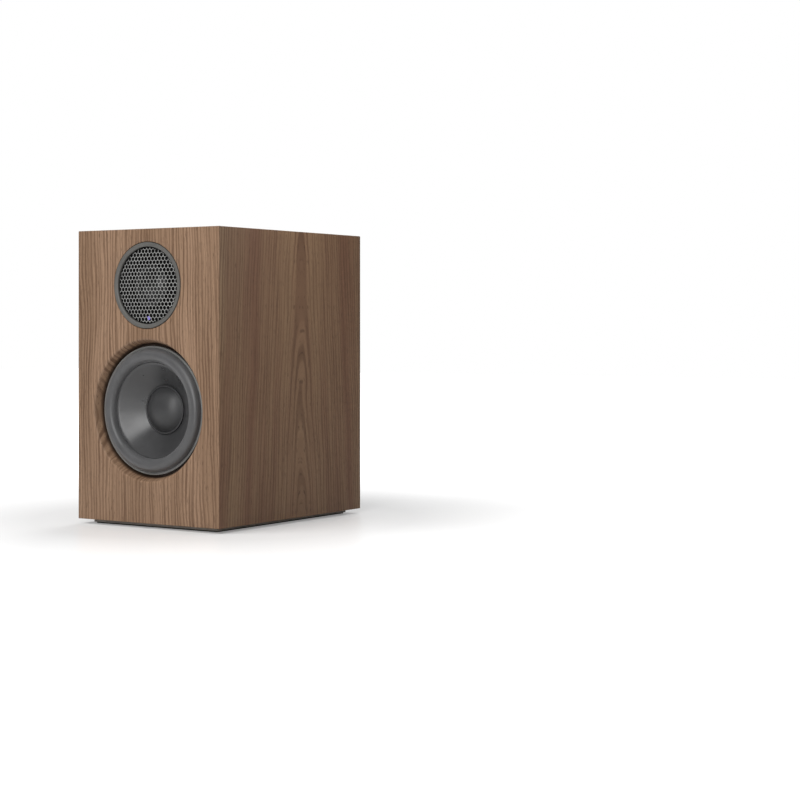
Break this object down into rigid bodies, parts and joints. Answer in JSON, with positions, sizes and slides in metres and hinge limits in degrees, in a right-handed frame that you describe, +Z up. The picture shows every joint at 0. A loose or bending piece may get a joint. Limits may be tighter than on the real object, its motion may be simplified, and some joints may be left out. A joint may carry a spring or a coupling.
{
  "type": "bookshelf speaker",
  "caption": "Powered two-way bookshelf speaker: walnut cabinet on a recessed plinth, meshed tweeter above a woofer in a flared recess, rear port and amplifier plate.",
  "frame": {"origin": "on the surface it stands on, under the middle of the whole object's box", "axes": "+Z up, -Y out of the front, +X to the right seen from the front"},
  "size_m": [0.148, 0.2, 0.24],
  "materials": {
    "walnut_veneer": "matt walnut veneer on fibreboard, grain upright",
    "black_laminate": "matt black laminated fibreboard",
    "raw_mdf": "raw fibreboard",
    "plinth_paint": "dark grey powder coat",
    "pad_rubber": "matt non-slip rubber",
    "black_zinc": "black zinc plated steel",
    "port_plastic": "fine textured black ABS",
    "basket_paint": "black painted pressed steel",
    "trim_satin": "satin dark grey",
    "gasket_foam": "closed-cell foam",
    "surround_rubber": "satin butyl rubber",
    "cone_paper": "coated pulp, satin",
    "cap_paper": "coated pulp, satin",
    "spider_cloth": "resin-treated cotton",
    "coil_wire": "enamelled copper wire",
    "plated_steel": "zinc plated",
    "ferrite": "ground ferrite",
    "tag_board": "phenolic board with tinned tabs",
    "ring_satin": "satin grey paint",
    "mesh_metal": "perforated steel, satin grey",
    "silk": "coated silk",
    "light_lens": "clear lens, lit violet blue",
    "plate_paint": "black anodised",
    "circuit_board": "green solder mask",
    "wound_core": "ferrite core with taped winding",
    "can_sleeve": "sleeved aluminium cans",
    "heat_sink_metal": "black anodised extrusion",
    "chip_epoxy": "moulded epoxy",
    "socket_plastic": "moulded black plastic with plated contacts",
    "post_brass": "gold flashed brass",
    "cap_black": "moulded black ABS",
    "cap_red": "moulded red ABS",
    "button_plastic": "moulded grey ABS",
    "lead_sleeve": "soft sleeve",
    "wadding_fibre": "white polyester wadding"
  },
  "bodies": {
    "cabinet": {"front_baffle": "walnut_veneer", "left_panel": "walnut_veneer", "right_panel": "walnut_veneer", "top_panel": "walnut_veneer", "bottom_panel": "walnut_veneer", "rear_panel": "black_laminate", "shelf_brace": "raw_mdf", "base_plinth": "plinth_paint", "base_pad": "pad_rubber", "rear_screws": "black_zinc", "amp_screws": "black_zinc", "woofer_nuts": "black_zinc", "port_tube": "port_plastic", "tweeter_faceplate": "port_plastic", "post_bases": "port_plastic", "mains_inlet": "port_plastic", "woofer_basket": "basket_paint", "woofer_trim_ring": "trim_satin", "woofer_gasket": "gasket_foam", "woofer_surround": "surround_rubber", "woofer_spider": "spider_cloth", "woofer_top_plate": "plated_steel", "woofer_yoke": "plated_steel", "tweeter_top_plate": "plated_steel", "tweeter_cup": "plated_steel", "tweeter_screws": "plated_steel", "av_socket": "plated_steel", "woofer_magnet": "ferrite", "tweeter_magnet": "ferrite", "woofer_terminals": "tag_board", "tweeter_ring": "ring_satin", "tweeter_mesh": "mesh_metal", "tweeter_surround": "silk", "status_light": "light_lens", "amp_plate": "plate_paint", "main_board": "circuit_board", "wireless_module": "circuit_board", "transformer": "wound_core", "capacitors": "can_sleeve", "heat_sink": "heat_sink_metal", "amp_chip": "chip_epoxy", "tact_switches": "chip_epoxy", "line_sockets": "socket_plastic", "binding_posts": "post_brass", "woofer_lead": "lead_sleeve", "tweeter_lead": "lead_sleeve", "light_lead": "lead_sleeve", "wadding": "wadding_fibre"},
    "woofer_diaphragm": {"woofer_cone": "cone_paper", "woofer_dust_cap": "cap_paper", "woofer_voice_coil": "coil_wire"},
    "tweeter_diaphragm": {"tweeter_dome": "silk", "tweeter_voice_coil": "coil_wire"},
    "left_washer": {"left_post_washer": "post_brass"},
    "left_cap": {"left_post_cap": "cap_black"},
    "right_washer": {"right_post_washer": "post_brass"},
    "right_cap": {"right_post_cap": "cap_red"},
    "source_key": {"source_button": "button_plastic"},
    "pairing_key": {"pairing_button": "button_plastic"},
    "reset_key": {"reset_button": "button_plastic"}
  },
  "joints": [
    {"name": "woofer_excursion", "type": "slide", "parent": "cabinet", "child": "woofer_diaphragm", "axis": [0, -1, 0], "range_m": [-0.004, 0.004], "stiffness_N_per_m": 1200, "deforming": ["woofer_surround", "woofer_spider"]},
    {"name": "tweeter_excursion", "type": "slide", "parent": "cabinet", "child": "tweeter_diaphragm", "axis": [0, -1, 0], "range_m": [-0.0002, 0.0002], "stiffness_N_per_m": 2000, "deforming": ["tweeter_surround"]},
    {"name": "left_washer_slide", "type": "slide", "parent": "cabinet", "child": "left_washer", "axis": [0, 1, 0], "range_m": [0, 0.0035]},
    {"name": "left_cap_turn", "type": "hinge", "parent": "left_washer", "child": "left_cap", "pos_m": [0.0125, 0.0905, 0.078], "axis": [0, 1, 0], "range_deg": [0, 1800.1]},
    {"name": "right_washer_slide", "type": "slide", "parent": "cabinet", "child": "right_washer", "axis": [0, 1, 0], "range_m": [0, 0.0035]},
    {"name": "right_cap_turn", "type": "hinge", "parent": "right_washer", "child": "right_cap", "pos_m": [0.0315, 0.0905, 0.078], "axis": [0, 1, 0], "range_deg": [0, 1800.1]},
    {"name": "source_press", "type": "slide", "parent": "cabinet", "child": "source_key", "axis": [0, -1, 0], "range_m": [0, 0.0008], "stiffness_N_per_m": 800},
    {"name": "pairing_press", "type": "slide", "parent": "cabinet", "child": "pairing_key", "axis": [0, -1, 0], "range_m": [0, 0.0008], "stiffness_N_per_m": 800},
    {"name": "reset_press", "type": "slide", "parent": "cabinet", "child": "reset_key", "axis": [0, -1, 0], "range_m": [0, 0.0008], "stiffness_N_per_m": 800}
  ],
  "couplings": [
    {"joint": "left_cap_turn", "follows": "left_washer_slide", "rad_per_m": 8976},
    {"joint": "right_cap_turn", "follows": "right_washer_slide", "rad_per_m": 8976}
  ]
}
